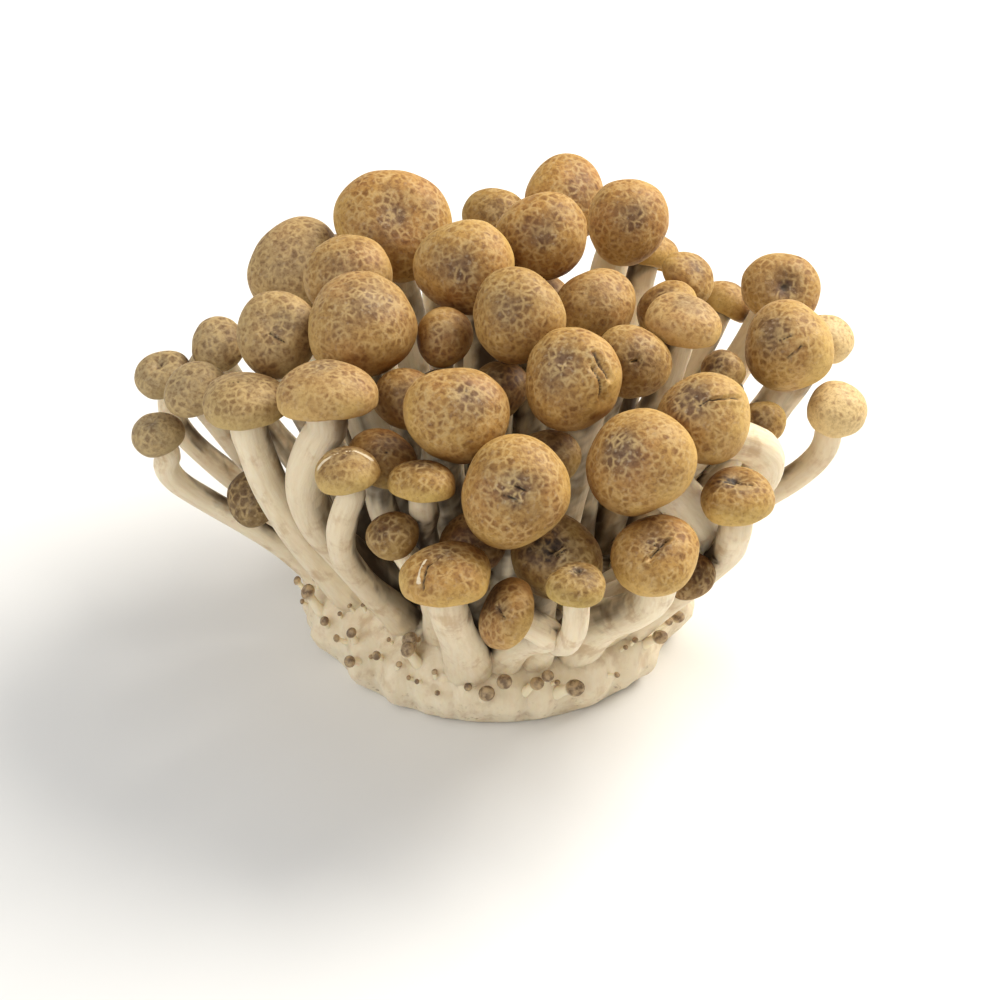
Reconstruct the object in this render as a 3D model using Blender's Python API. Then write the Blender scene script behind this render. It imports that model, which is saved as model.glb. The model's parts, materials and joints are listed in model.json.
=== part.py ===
"""Beech mushroom cluster: one bunch of brown-capped mushrooms whose stems grow from one cut butt.

Metres, +Z up. The origin is the centre of the flat face where the butt was cut, which the bunch stands on.
The front of the bunch faces -Y. Every cap is a solid of its own, and the stems and the butt are one.
"""

import math

import bmesh
import bpy
import numpy as np
from mathutils import Matrix, Vector

MM = 0.001
TINY = MM / 1000
SEED = 31
SHARP_ANGLE = math.radians(50)

# Colours from the photograph, as linear values, with a roughness each
CAP_SKIN = ((0.55, 0.38, 0.17), 0.6)
STEM_FLESH = ((0.86, 0.79, 0.65), 0.55)

# The butt, as a turned lump with a flat cut face. Its profile is in shares of the radius and height,
# from the middle of its top to the middle of the cut
BUTT_RADIUS = 35 * MM
BUTT_HEIGHT = 18 * MM
BUTT_PROFILE = ((0, 1), (0.55, 1), (0.84, 0.86), (0.98, 0.58), (1, 0.25), (0.93, 0), (0, 0))
BUTT_SIDES = 32
BUTT_LUMPS = 9
BUTT_LUMP_DEPTH = 0.035

# Where a stem starts in the butt, from where its cap stands in plan
ROOT_HEIGHT = 9 * MM
ROOT_SHARE = 0.52
ROOT_REACH = 29 * MM
ROOT_LEAN = 0.35

# A stem: its radius is a share of its cap's, and its curve rises from the root, then turns to the cap
STEM_SHARE = 0.40
STEM_RADIUS_MIN = 2.0 * MM
STEM_RADIUS_MAX = 3.9 * MM
STEM_FOOT_SWELL = 1.3
STEM_BEVEL_RESOLUTION = 1
STEM_POINTS = 9
STEM_FINE_POINTS = 29
STEM_RISE_SHARE = 0.40
STEM_HEAD_SHARE = 0.28
NECK_SPARE = 0.6 * MM

# Clearances between neighbours
CAP_GAP = 0.5 * MM
STEM_GAP = 1.2 * MM
SEAT_GAP = 0.4 * MM
THROAT_GAP = 0.6 * MM

# How touching caps are told and moved apart, and how a stem is bent clear of them
SHELL_POWER = 2.4
SAMPLE_LIFTS = np.radians(np.arange(-75, 91, 15))
SAMPLE_TURNS = np.radians(np.arange(0, 360, 24))
NEAR_SHARE = 1.1
NUDGE = CAP_GAP / 20
SETTLE_ROUNDS = 400
ROUTE_ROUNDS = 240
ROUTE_EASE = 0.5

# A cap's mesh
CAP_SIDES = 14
DOME_RINGS = (math.radians(33), math.radians(63), math.radians(90))
GILL_DEPTH = 0.12
TWO_LOBES = 0.045
THREE_LOBES = 0.03
DIMPLE_WIDTH = 0.40

# The crown's skin, which says how deep a cap sits: deeper caps give way to outer ones
CROWN_CENTRE = np.array([0, 0, 50 * MM])
CROWN_HALF = np.array([56 * MM, 54 * MM, 23 * MM])
STIFFNESS_AT_SKIN = 0.12

# Forms of cap, in cap radii: dome height over the widest ring, lip depth under it, lip radius,
# rise of the gills from the lip to the stem, and depth of the dimple on top
FORMS = {
    "button": (0.80, 0.44, 0.72, 0.26, 0.00),
    "round": (0.72, 0.36, 0.78, 0.26, 0.00),
    "umbrella": (0.62, 0.24, 0.90, 0.26, 0.00),
    "dimple": (0.66, 0.34, 0.80, 0.26, 0.16),
}

# Stems that bulge to one side: how far the curve's two handles are moved, in mm, by the mushroom's number
BULGES = {
    24: (3, 0, 0), 27: (-10, 0, 0), 28: (-7, -2, -2), 29: (-4, 0, 0), 30: (-7, 0, 0), 31: (-8, 0, 2),
    35: (30, -8, 3), 36: (13, 0, 4), 40: (-8, 0, 0), 42: (-3, 0, 0),
}

# Every mushroom: x, y, z of its cap's middle and the cap's diameter in mm, the bearing that the cap
# faces (0 is to the front, 90 to the right) and its tilt from upright in degrees, and its form
MUSHROOMS = (
    # Back row
    (-18, 26, 68, 21, 10, 38, "dimple"),
    (13, 46, 61, 16, 28, 38, "round"),
    (24, 28, 67, 15, 5, 49, "button"),
    (9, 13, 72, 16, 5, 52, "button"),
    (1, 43, 59, 12, 0, 36, "round"),
    (-7, 31, 59, 11, 0, 30, "round"),
    (-36, 24, 60, 18, 0, 34, "round"),
    (52, 24, 55, 14, 0, 43, "dimple"),
    (60, 16, 50, 10, 60, 20, "button"),
    # Middle of the crown
    (-6, 2, 73, 17, -15, 56, "button"),
    (-26, 8, 68, 16, -10, 40, "round"),
    (-22, -11, 71, 19, 18, 24, "button"),
    (-9, -7, 68, 10, 8, 44, "round"),
    (15, 7, 67, 14, 0, 25, "button"),
    (8, 12, 60, 11, 0, 31, "round"),
    (4, -12, 73, 16, -20, 38, "button"),
    (12, -24, 70, 17, -30, 37, "button"),
    (23, -15, 66, 13, 15, 50, "button"),
    (35, 18, 62, 10, 60, 35, "umbrella"),
    (30, 9, 61, 11, -40, 35, "round"),
    (32, -6, 69, 13, 75, 10, "umbrella"),
    (50, -1, 60, 16, -48, 42, "button"),
    (39, -6, 58, 8, -54, 25, "button"),
    (60, -4, 49, 11, 72, 12, "button"),
    # Left side
    (-38, -8, 66, 15, 0, 34, "dimple"),
    (-49, 5, 56, 10, 0, 31, "round"),
    (-28, -28, 70, 16, 180, 11, "umbrella"),
    (-42, -19, 63, 15, 200, 11, "umbrella"),
    (-52, -11, 58, 11, -50, 23, "round"),
    (-59, 2, 52, 10, -46, 18, "dimple"),
    (-59, -12, 49, 9, -60, 20, "button"),
    (-43, -13, 36, 10, -40, 35, "round"),
    # Front
    (-6, -33, 68, 17, 27, 32, "button"),
    (3, -46, 62, 18, 0, 44, "button"),
    (23, -39, 63, 18, -37, 42, "button"),
    (34, -28, 64, 16, -50, 38, "button"),
    (-16, -21, 63, 11, -10, 32, "round"),
    (-10, -15, 59, 10, 0, 31, "round"),
    (0, -13, 59, 10, 0, 37, "round"),
    (-24, -39, 62, 11, -120, 11, "umbrella"),
    (-20, -33, 60, 12, 30, 12, "umbrella"),
    (-12, -41, 61, 11, 180, 13, "umbrella"),
    (-9, -53, 52, 15, 200, 6, "umbrella"),
    (1, -55, 44, 12, -78, 52, "umbrella"),
    (10, -45, 48, 15, 10, 38, "round"),
    (13, -57, 52, 10, 180, 8, "umbrella"),
    (26, -48, 51, 15, -20, 14, "dimple"),
    (40, -36, 54, 13, 180, 6, "dimple"),
    (-16, -47, 53, 9, -60, 27, "round"),
    (-4, -42, 48, 11, 0, 37, "round"),
    (9, -30, 57, 10, 0, 37, "round"),
    (46, -12, 51, 8, -14, 50, "round"),
    (33, -34, 35, 9, 20, 40, "round"),
    # Low at the back
    (-30, 37, 54, 13, 200, 34, "round"),
    (-12, 49, 50, 12, 185, 40, "button"),
    (28, 42, 52, 13, 160, 38, "round"),
    (-52, 17, 44, 11, 245, 40, "round"),
    (43, 34, 46, 10, 140, 42, "button"),
)


def facing(bearing, tilt):
    """The unit vector that a cap faces."""
    b, t = math.radians(bearing), math.radians(tilt)
    return np.array([math.sin(b) * math.sin(t), -math.cos(b) * math.sin(t), math.cos(t)])


class Cap:
    """One cap's place and form, in metres."""

    def __init__(self, number, row, lobes):
        x, y, z, diameter, bearing, tilt, form = row
        self.middle = np.array([x, y, z]) * MM
        self.radius = diameter * MM / 2
        self.up = facing(bearing, tilt)
        self.top, self.drop, self.lip, self.rise, self.dimple = FORMS[form]
        self.half_height = (self.top + self.drop) / 2 * self.radius
        # The widest ring lies under the middle, as the dome is taller than the lip is deep
        self.ring_z = (self.drop - self.top) / 2 * self.radius
        self.ceiling_z = self.ring_z + (self.rise - self.drop) * self.radius
        self.stem_radius = min(max(STEM_SHARE * self.radius, STEM_RADIUS_MIN), STEM_RADIUS_MAX)
        # The stem runs straight for its own radius and a little more, so that its first bend clears the lip
        self.neck_drop = self.rise * self.radius + self.stem_radius + NECK_SPARE
        self.bulge = np.array(BULGES.get(number, (0, 0, 0))) * MM
        self.lobes = lobes
        self.skin_offsets = self.sample_skin()
        depth = 1 - np.linalg.norm((self.middle - CROWN_CENTRE) / CROWN_HALF)
        self.ease = STIFFNESS_AT_SKIN + max(0.0, float(depth))

    def turn(self):
        return Vector(self.up).to_track_quat("Z", "Y").to_matrix()

    def matrix(self):
        return Matrix.Translation(self.middle) @ self.turn().to_4x4()

    def seat(self):
        """Where the stem ends, just under the ceiling of the gills."""
        return self.middle + self.up * (self.ceiling_z - SEAT_GAP)

    def neck(self):
        """Where the stem comes out of the cap, square to it."""
        return self.seat() - self.up * self.neck_drop

    def sample_skin(self):
        """Points over the cap's outside and its neck, from its middle, for telling where two caps touch."""
        power = 2 / SHELL_POWER
        lifts, turns = np.meshgrid(SAMPLE_LIFTS, SAMPLE_TURNS)
        flat = np.abs(np.cos(lifts)) ** power * self.radius
        high = np.sign(lifts) * np.abs(np.sin(lifts)) ** power * self.half_height
        skin = np.stack([flat * np.cos(turns), flat * np.sin(turns), high], -1).reshape(-1, 3)
        neck_z = np.full(len(SAMPLE_TURNS), self.ceiling_z - SEAT_GAP - self.neck_drop)
        ring = np.column_stack([np.cos(SAMPLE_TURNS), np.sin(SAMPLE_TURNS)]) * self.stem_radius
        neck = np.column_stack([ring, neck_z])
        return np.vstack([skin, neck]) @ np.array(self.turn()).T

    def share_inside(self, points, margin):
        """Under 1 where a point lies inside the cap grown by margin, and 0 at its middle."""
        offset = points - self.middle
        height = offset @ self.up
        side = np.linalg.norm(offset - height[:, None] * self.up, axis=1)
        across = side / (self.radius + margin)
        along = np.abs(height) / (self.half_height + margin)
        return (across**SHELL_POWER + along**SHELL_POWER) ** (1 / SHELL_POWER)


def settle(caps):
    """Moves touching caps apart. The deeper of two gives way more, so the outer ones keep their places."""
    for _ in range(SETTLE_ROUNDS):
        touching = False
        for i, a in enumerate(caps):
            for b in caps[i + 1 :]:
                line = b.middle - a.middle
                gap = np.linalg.norm(line)
                if gap > NEAR_SHARE * (a.radius + b.radius):
                    continue
                nearest = min(
                    b.share_inside(a.skin_offsets + a.middle, CAP_GAP).min(),
                    a.share_inside(b.skin_offsets + b.middle, CAP_GAP).min(),
                )
                if nearest >= 1:
                    continue
                touching = True
                push = line / gap * ((1 - nearest) * min(a.radius, b.radius) / 2 + NUDGE)
                a.middle = a.middle - push * a.ease / (a.ease + b.ease)
                b.middle = b.middle + push * b.ease / (a.ease + b.ease)
        if not touching:
            return


def first_route(cap):
    """A stem's centreline as a cubic curve, from its root in the butt to the neck under its cap."""
    root = cap.middle[:2] * ROOT_SHARE
    reach = np.linalg.norm(root)
    if reach > ROOT_REACH:
        root = root * ROOT_REACH / reach
    start = np.array([*root, ROOT_HEIGHT])
    neck = cap.neck()
    length = np.linalg.norm(neck - start)
    lean = np.array([*(root / ROOT_REACH * ROOT_LEAN), 1.0])
    out = start + lean / np.linalg.norm(lean) * length * STEM_RISE_SHARE + cap.bulge
    back = neck - cap.up * length * STEM_HEAD_SHARE + cap.bulge
    t = np.linspace(0, 1, STEM_FINE_POINTS)[:, None]
    return start * (1 - t) ** 3 + out * 3 * t * (1 - t) ** 2 + back * 3 * t**2 * (1 - t) + neck * t**3


def bend_clear(route, cap, others):
    """Bends a stem's middle round the caps that it would cross, and keeps it smooth."""
    for _ in range(ROUTE_ROUNDS):
        along = np.gradient(route, axis=0)
        along /= np.linalg.norm(along, axis=1)[:, None]
        push = np.zeros_like(route)
        for other in others:
            inside = other.share_inside(route, cap.stem_radius + STEM_GAP)
            away = route - other.middle
            away -= (away * along).sum(1)[:, None] * along
            away /= np.linalg.norm(away, axis=1)[:, None] + TINY
            push += away * (np.clip(1 - inside, 0, 1) * other.radius)[:, None]
        bend = (route[:-2] + route[2:]) / 2 - route[1:-1]
        route[1:-1] += push[1:-1] + bend * ROUTE_EASE
        if not push[1:-1].any():
            break
    return np.vstack([route, cap.seat()])


def material(name, finish):
    colour, roughness = finish
    made = bpy.data.materials.new(name)
    made.use_nodes = True
    shader = made.node_tree.nodes["Principled BSDF"]
    shader.inputs["Base Color"].default_value = (*colour, 1)
    shader.inputs["Roughness"].default_value = roughness
    shader.inputs["Metallic"].default_value = 0
    return made


def add_object(name, mesh, skin):
    made = bpy.data.objects.new(name, mesh)
    bpy.context.scene.collection.objects.link(made)
    mesh.materials.append(skin)
    return made


def smooth(mesh):
    mesh.shade_smooth()
    mesh.set_sharp_from_angle(angle=SHARP_ANGLE)


def turned_mesh(name, profile, sides):
    """A closed solid turned about Z from a profile that starts and ends on the axis, top first."""
    bm = bmesh.new()
    points = [bm.verts.new((r, 0, z)) for r, z in profile]
    edges = [bm.edges.new(pair) for pair in zip(points, points[1:])]
    bmesh.ops.spin(
        bm, geom=points + edges, cent=(0, 0, 0), axis=(0, 0, 1), angle=math.tau, steps=sides, use_merge=True
    )
    bmesh.ops.remove_doubles(bm, verts=bm.verts, dist=TINY)
    bmesh.ops.recalc_face_normals(bm, faces=bm.faces)
    mesh = bpy.data.meshes.new(name)
    bm.to_mesh(mesh)
    bm.free()
    return mesh


def cap_mesh(name, cap):
    """A domed cap with an inrolled lip and gills that run as ridges from the lip up to the stem."""
    r = cap.radius
    throat = cap.stem_radius + THROAT_GAP
    profile = [(0, cap.ring_z + cap.top * r)]
    profile += [(math.sin(t) * r, cap.ring_z + math.cos(t) * cap.top * r) for t in DOME_RINGS]
    profile += [(cap.lip * r, cap.ring_z - cap.drop * r), (throat, cap.ceiling_z), (0, cap.ceiling_z)]
    mesh = turned_mesh(name, profile, CAP_SIDES)
    two, three = cap.lobes
    for v in mesh.vertices:
        x, y, z = v.co
        side, turn = math.hypot(x, y), math.atan2(y, x)
        under = z < cap.ring_z - MM / 100
        if side > throat + MM / 10:
            swell = 1 + TWO_LOBES * math.cos(2 * (turn - two)) + THREE_LOBES * math.cos(3 * (turn - three))
            v.co.x, v.co.y = x * swell, y * swell
        elif under and side > MM / 10:
            # Every other point round the stem is higher, which folds the underside into gills
            raised = round(turn / math.tau * CAP_SIDES) % 2
            v.co.z = z + raised * GILL_DEPTH * r
        if not under:
            v.co.z -= cap.dimple * r * math.exp(-((side / r / DIMPLE_WIDTH) ** 2))
    smooth(mesh)
    return mesh


def stem_object(route, cap):
    """A stem as a bevelled curve: thickest at its foot, slimmest under the cap."""
    curve = bpy.data.curves.new("stem", "CURVE")
    curve.dimensions = "3D"
    curve.bevel_depth = cap.stem_radius
    curve.bevel_resolution = STEM_BEVEL_RESOLUTION
    curve.use_fill_caps = True
    spline = curve.splines.new("POLY")
    spline.points.add(STEM_POINTS - 1)
    picks = [*np.linspace(0, len(route) - 2, STEM_POINTS - 1).round().astype(int), len(route) - 1]
    for k, pick in enumerate(picks):
        spline.points[k].co = (*route[pick], 1)
        spline.points[k].radius = 1 + (STEM_FOOT_SWELL - 1) * (1 - k / (STEM_POINTS - 1)) ** 2
    return bpy.data.objects.new("stem", curve)


def butt_mesh():
    """The butt: a low turned lump, waved round its side where the feet of the stems bulge."""
    mesh = turned_mesh("butt", [(r * BUTT_RADIUS, z * BUTT_HEIGHT) for r, z in BUTT_PROFILE], BUTT_SIDES)
    for v in mesh.vertices:
        turn = math.atan2(v.co.y, v.co.x)
        swell = 1 + BUTT_LUMP_DEPTH * math.cos(BUTT_LUMPS * turn)
        v.co.x, v.co.y = v.co.x * swell, v.co.y * swell
    return mesh


def weld(mesh):
    """Closes the seam between a tube's wall and its end caps."""
    bm = bmesh.new()
    bm.from_mesh(mesh)
    bmesh.ops.remove_doubles(bm, verts=bm.verts, dist=TINY)
    bmesh.ops.recalc_face_normals(bm, faces=bm.faces)
    bm.to_mesh(mesh)
    bm.free()


def evaluated_mesh(obj):
    graph = bpy.context.evaluated_depsgraph_get()
    graph.update()
    return bpy.data.meshes.new_from_object(obj.evaluated_get(graph))


def face_islands(bm):
    """The faces in sets that hang together by their edges."""
    islands = []
    left = set(bm.faces)
    while left:
        island = set()
        frontier = [left.pop()]
        while frontier:
            face = frontier.pop()
            island.add(face)
            for near in (f for e in face.edges for f in e.link_faces if f in left):
                left.discard(near)
                frontier.append(near)
        islands.append(island)
    return islands


def keep_outer_skin(mesh):
    """Drops the sealed hollows between stems and any loose scrap, so that one closed skin is left."""
    bm = bmesh.new()
    bm.from_mesh(mesh)
    bmesh.ops.triangulate(bm, faces=bm.faces)
    islands = face_islands(bm)
    largest = max(islands, key=len)
    scraps = [f for island in islands if island is not largest for f in island]
    bmesh.ops.delete(bm, geom=scraps, context="FACES")
    bm.to_mesh(mesh)
    bm.free()


def add_stem(cap, caps, stems):
    """One stem's solid, added to the collection that is joined to the butt."""
    route = bend_clear(first_route(cap), cap, [other for other in caps if other is not cap])
    drawn = stem_object(route, cap)
    bpy.context.scene.collection.objects.link(drawn)
    mesh = evaluated_mesh(drawn)
    bpy.data.objects.remove(drawn)
    weld(mesh)
    stems.objects.link(bpy.data.objects.new("stem", mesh))


def build_stems(caps, flesh):
    """The butt and every stem, joined into one solid."""
    stems = bpy.data.collections.new("stems")
    bpy.context.scene.collection.children.link(stems)
    for cap in caps:
        add_stem(cap, caps, stems)
    bunch = add_object("stems_and_butt", butt_mesh(), flesh)
    join = bunch.modifiers.new("join stems", "BOOLEAN")
    join.operation = "UNION"
    join.solver = "MANIFOLD"
    join.operand_type = "COLLECTION"
    join.collection = stems
    joined = evaluated_mesh(bunch)
    bunch.modifiers.clear()
    bunch.data = joined
    keep_outer_skin(joined)
    joined.materials.clear()
    joined.materials.append(flesh)
    smooth(joined)
    for solid in list(stems.objects):
        bpy.data.objects.remove(solid)
    bpy.data.collections.remove(stems)


def main():
    for obj in list(bpy.data.objects):
        bpy.data.objects.remove(obj)
    rng = np.random.default_rng(SEED)
    skin = material("cap_skin", CAP_SKIN)
    flesh = material("stem_flesh", STEM_FLESH)
    caps = [Cap(number, row, rng.uniform(0, math.tau, 2)) for number, row in enumerate(MUSHROOMS, 1)]
    settle(caps)
    for number, cap in enumerate(caps, 1):
        name = f"cap_{number:02d}"
        add_object(name, cap_mesh(name, cap), skin).matrix_world = cap.matrix()
    build_stems(caps, flesh)


main()
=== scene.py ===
"""The looks of the beech mushroom bunch: fine caps with gills, smooth stems, a lumpy butt, and finishes.

Metres, +Z up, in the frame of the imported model. Each fine cap is measured on its own solid, and each
stem runs from the butt to its cap by the same rule as the solid one.
"""

import json
import math

import bmesh
import bpy
import numpy as np
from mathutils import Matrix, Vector
from mathutils.bvhtree import BVHTree
from mathutils.kdtree import KDTree

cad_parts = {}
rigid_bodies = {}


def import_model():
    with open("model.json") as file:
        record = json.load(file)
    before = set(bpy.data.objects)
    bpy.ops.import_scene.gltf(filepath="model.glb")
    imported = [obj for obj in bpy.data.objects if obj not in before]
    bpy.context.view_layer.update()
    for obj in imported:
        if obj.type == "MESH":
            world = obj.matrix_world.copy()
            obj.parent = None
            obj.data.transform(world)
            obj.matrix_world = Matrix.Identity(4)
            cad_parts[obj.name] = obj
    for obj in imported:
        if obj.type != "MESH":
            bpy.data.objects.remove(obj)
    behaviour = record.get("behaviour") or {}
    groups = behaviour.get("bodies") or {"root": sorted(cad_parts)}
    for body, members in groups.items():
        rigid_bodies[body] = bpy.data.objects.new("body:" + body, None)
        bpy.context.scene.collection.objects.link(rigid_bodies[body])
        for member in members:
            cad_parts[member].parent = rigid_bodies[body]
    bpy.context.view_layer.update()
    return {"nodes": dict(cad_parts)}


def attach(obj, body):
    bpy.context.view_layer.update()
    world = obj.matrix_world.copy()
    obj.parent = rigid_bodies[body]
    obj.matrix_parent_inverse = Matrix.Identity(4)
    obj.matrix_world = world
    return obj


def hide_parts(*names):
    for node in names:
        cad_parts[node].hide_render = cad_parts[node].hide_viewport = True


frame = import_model()

MM = 0.001
SEED = 47

# The camera, at the photograph's angle, aimed a little under the crown
EYE_DISTANCE = 540 * MM
EYE_HEIGHT_ANGLE = math.radians(35.2)
CROWN_HEIGHT = 50 * MM
AIM_LOWER = math.radians(2.12)
AIM_RIGHT = math.radians(0.09)
LENS_MM, SENSOR_MM = 110.2, 36

# What the photograph's viewer calls right, up and towards them
SEEN_RIGHT = np.array([1, 0, 0])
SEEN_UP = np.array([0, math.sin(EYE_HEIGHT_ANGLE), math.cos(EYE_HEIGHT_ANGLE)])
SEEN_NEAR = np.array([0, -math.cos(EYE_HEIGHT_ANGLE), math.sin(EYE_HEIGHT_ANGLE)])

# The solids' own rule for stems
THROAT_GAP = 0.6 * MM
SEAT_GAP = 0.4 * MM
NECK_SPARE = 0.6 * MM
STEM_GAP = 1.2 * MM
SHELL_POWER = 2.4
ROOT_HEIGHT = 9 * MM
ROOT_SHARE = 0.52
ROOT_REACH = 29 * MM
ROOT_LEAN = 0.35
STEM_RISE_SHARE = 0.40
STEM_HEAD_SHARE = 0.28
ROUTE_POINTS = 29
ROUTE_ROUNDS = 240
ROUTE_EASE = 0.5
BULGES = {
    24: (3, 0, 0), 27: (-10, 0, 0), 28: (-7, -2, -2), 29: (-4, 0, 0), 30: (-7, 0, 0), 31: (-8, 0, 2),
    35: (30, -8, 3), 36: (13, 0, 4), 40: (-8, 0, 0), 42: (-3, 0, 0),
}

# How a cap's solid is read: points this near are on one level, and a ring has at least so many points
SAME_LEVEL = 0.03 * MM
FULL_RING = 11
SHOULDER_ANGLE = math.radians(63)

# Fine caps: the length of a face's side, the roundness of the lip, the depth of the gills, in cap radii
CAP_FACE = 0.46 * MM
LIP_ROUND = 0.055
GILL_ROOM = 0.15
ARCH_POWER = 0.5
BRIM_POWER = 2.3
SHARP_BRIM = 3.6
LUMP_HEIGHT = 0.028
WRINKLE_HEIGHT = 0.010
MARGIN_WAVE = 0.03
DIMPLE_WIDTH = 0.40

# Gills
GILL_PITCH = 0.72 * MM
GILL_THICKNESS = 0.17 * MM
SHORT_GILL_START = 0.45

# Fine stems
STEM_SIDES = 18
STEM_STEP = 1.15 * MM
STEM_FULLER = 1.10
FOOT_SWELL = 0.55
FOOT_LENGTH = 15 * MM
HEAD_FLARE = 0.10
FLARE_LENGTH = 1.5 * MM
STEM_WAVE = 0.035
STEM_RIDGE = 0.02
SHARP_ANGLE = math.radians(55)

# What a stem's flesh reads: threads this wide and long that start elsewhere on each stem, a tint that
# steps by the golden ratio from stem to stem, and crumbs up to a height
THREAD_WIDTH = 1.3 * MM
THREAD_LENGTH = 9 * MM
THREAD_START = 3.7
GOLDEN_SHARE = 0.618034
CRUMBS_TO = 24 * MM

# Painted shade: skin and flesh inside the bunch are darker by how many ways out of them, of so many, meet
# the bunch within this reach. They are counted from this far off the surface, on a cap at every so many
# points
WAYS_OUT = 26
SHADE_REACH = 26 * MM
SHADE_LIFT = 0.9 * MM
SHADE_STEP = 4

# Stems that the photograph shows bright between caps: the share of their shade that they keep
BRIGHT_STEMS = {35: 0.35, 36: 0.6}

# The butt
BUTT_RADIUS = 35 * MM
BUTT_HEIGHT = 18 * MM
BUTT_PROFILE = (
    (0, 1), (0.3, 1.02), (0.6, 1), (0.84, 0.88), (0.97, 0.62), (1, 0.30), (0.955, 0.06), (0.93, 0),
)
BUTT_SIDES = 200
BUTT_ROWS = 48
RIDGE_HEIGHT = 2.4 * MM
RIDGE_FROM = 20 * MM
LUMP_SIZE = 6 * MM
LUMP_RISE = 0.35 * MM

# Old stems' feet on the butt's side: their number, and their widths and heights in millimetres, as the
# ridges' widths are
BUTT_FEET = 70
FOOT_WIDTHS = (2.0, 3.8)
FOOT_HEIGHTS = (0.5, 1.5)
RIDGE_WIDTHS = (2.4, 3.4)

# Tiny young mushrooms that crowd the butt. They keep clear of a grown stem by its radius, times this
# girth, and this much more
STEM_GIRTH = 1.45
STEM_CLEAR = 0.5 * MM
PINHEAD_GAP = 2.1 * MM
PINHEAD_DENSITY = 90000.0
PINHEAD_SIDES = 14
PINHEAD_SIZES = (0.55, 2.0)
PINHEAD_BEND = 0.05 / MM
PINHEAD_TIP = 0.06 * MM
HEAD_FROM, HEAD_OVER = 1.8 * MM, 0.9 * MM
PINHEADS_FROM = 0.42 * BUTT_HEIGHT
PINHEAD_PROFILE = (
    (0.64, -0.9), (0.62, 0.0), (0.52, 0.8), (0.47, 1.6), (0.50, 2.05), (0.70, 2.10), (0.80, 2.35),
    (0.77, 2.70), (0.60, 3.02), (0.33, 3.22),
)

# Marks on single caps, by their numbers, where the photograph shows them. A place is in cap radii to the
# right and up of the cap's middle, as seen from the front. A dent has a place, a width and a depth, a
# crease has its two ends, a width and a depth, a patch of dark skin has a place, a width and a strength,
# and a tear has its ends and a width and bares white flesh
DENTS = {
    8: [((0.10, -0.05), 0.50, 0.10)],
    17: [((0.64, 0.22), 0.20, 0.10), ((0.70, -0.52), 0.16, 0.10), ((-0.30, 0.55), 0.30, 0.05)],
    18: [((0.05, 0.02), 0.16, 0.09)], 30: [((-0.20, 0.62), 0.40, 0.14)],
    31: [((-0.25, 0.60), 0.35, 0.08)], 33: [((0.25, 0.55), 0.30, 0.04)],
    34: [((-0.05, 0.10), 0.42, 0.07)], 44: [((-0.12, 0.10), 0.26, 0.09)],
    45: [((-0.15, 0.20), 0.34, 0.12)], 46: [((0.02, 0.84), 0.34, 0.16)],
    48: [((-0.20, 0.74), 0.38, 0.12)],
}
CREASES = {
    17: [((0.58, 0.56), (0.82, -0.05), 0.060, 0.08), ((0.60, 0.20), (0.66, -0.45), 0.05, 0.06)],
    18: [((-0.12, -0.03), (0.20, 0.06), 0.045, 0.09)],
    22: [((0.05, -0.45), (0.40, -0.10), 0.050, 0.06), ((-0.2, 0.05), (0.15, 0.2), 0.04, 0.04)],
    25: [((-0.30, -0.15), (0.35, -0.42), 0.050, 0.08)], 28: [((-0.6, 0.45), (0.2, 0.62), 0.05, 0.04)],
    34: [((-0.35, -0.10), (0.05, -0.25), 0.050, 0.06), ((0.00, 0.20), (0.30, 0.05), 0.045, 0.05)],
    36: [((0.26, 0.44), (0.84, 0.36), 0.040, 0.09), ((-0.1, 0.3), (0.2, 0.45), 0.04, 0.03)],
    41: [((-0.30, 0.30), (0.35, 0.10), 0.060, 0.08)],
    43: [((-0.62, 0.10), (-0.35, 0.52), 0.050, 0.09), ((-0.62, 0.10), (-0.52, -0.45), 0.05, 0.08)],
    44: [((-0.3, 0.35), (0.1, -0.2), 0.06, 0.06)],
    45: [((-0.35, 0.15), (0.20, 0.48), 0.050, 0.09), ((-0.1, 0.0), (0.3, 0.3), 0.045, 0.06)],
    46: [((-0.4, 0.70), (0.3, 0.86), 0.06, 0.08)],
    47: [((-0.22, -0.22), (0.54, 0.50), 0.060, 0.17), ((-0.30, 0.50), (0.05, 0.30), 0.05, 0.05)],
    48: [((-0.62, 0.48), (0.10, 0.66), 0.055, 0.09), ((0.0, 0.45), (0.6, 0.30), 0.05, 0.06)],
}
PATCHES = {
    1: ((0.05, 0.22), 0.55, 0.80), 2: ((0.10, 0.05), 0.45, 0.50), 3: ((0.20, 0.05), 0.60, 0.70),
    4: ((0.05, -0.10), 0.50, 0.65), 8: ((0.12, -0.02), 0.55, 1.40), 10: ((0.05, -0.15), 0.55, 0.60),
    12: ((0.05, 0.45), 0.60, 0.55), 17: ((-0.30, 0.50), 0.70, 0.60), 22: ((-0.45, 0.35), 0.60, 0.75),
    23: ((-0.45, 0.10), 0.50, 0.90), 25: ((0.00, 0.10), 0.50, 0.70), 27: ((-0.15, 0.88), 0.60, 0.40),
    30: ((-0.15, 0.62), 0.50, 0.90), 31: ((-0.25, 0.60), 0.50, 0.60), 33: ((0.20, 0.45), 0.60, 0.45),
    34: ((-0.05, 0.08), 0.62, 0.80), 35: ((-0.52, 0.30), 0.70, 0.95), 36: ((-0.42, 0.48), 0.72, 0.95),
    40: ((-0.10, 0.80), 0.50, 0.35), 42: ((-0.20, 0.88), 0.60, 0.60), 43: ((0.10, 0.85), 0.60, 0.45),
    44: ((-0.10, 0.15), 0.50, 0.60), 45: ((-0.40, 0.35), 0.75, 1.70), 46: ((0.02, 0.84), 0.60, 1.60),
    47: ((-0.12, 0.42), 0.62, 0.85), 48: ((-0.34, 0.72), 0.66, 1.70),
}
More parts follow.
